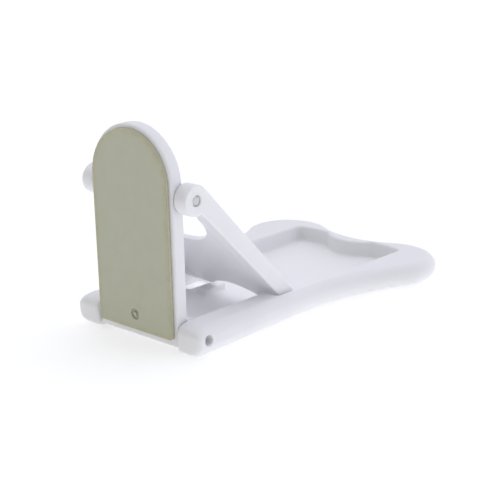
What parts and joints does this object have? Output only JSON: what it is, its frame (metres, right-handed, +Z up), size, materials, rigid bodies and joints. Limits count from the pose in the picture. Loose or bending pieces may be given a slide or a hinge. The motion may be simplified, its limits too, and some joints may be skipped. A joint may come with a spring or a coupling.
{
  "type": "stair gate latch",
  "caption": "Fold-out stick-on latch: an arch-topped base plate with an adhesive pad, a broad flared arm hinged at its foot, and a brace that props the arm open.",
  "frame": {"origin": "middle of the adhesive face that sticks to the wall, door or gate panel", "axes": "-X out of the adhesive face into the panel, +X along the open arm, Y along the hinge pins, +Z up the base plate"},
  "size_m": [0.108, 0.073, 0.0639],
  "materials": {
    "white_plastic": "glossy moulded white",
    "foam": "closed-cell foam, matt",
    "adhesive": "grey-beige adhesive film, satin",
    "steel": "bright drawn steel"
  },
  "bodies": {
    "base": {"base_plate": "white_plastic", "plate_adhesive": "adhesive", "foam_core": "foam", "wall_adhesive": "adhesive", "hinge_pin": "steel", "brace_pin_left": "steel", "brace_pin_right": "steel"},
    "arm": {"arm": "white_plastic"},
    "brace": {"brace": "white_plastic"}
  },
  "joints": [
    {"name": "arm_fold", "type": "hinge", "parent": "base", "child": "arm", "pos_m": [0.0044, 0, -0.02755], "axis": [0, -1, 0], "range_deg": [0, 90]},
    {"name": "brace_fold", "type": "hinge", "parent": "base", "child": "brace", "pos_m": [0.0057, 0, 0.01175], "axis": [0, -1, 0], "range_deg": [0, 136]}
  ],
  "couplings": [
    {"joint": "brace_fold", "follows": "arm_fold", "ratio": 1.5111}
  ]
}
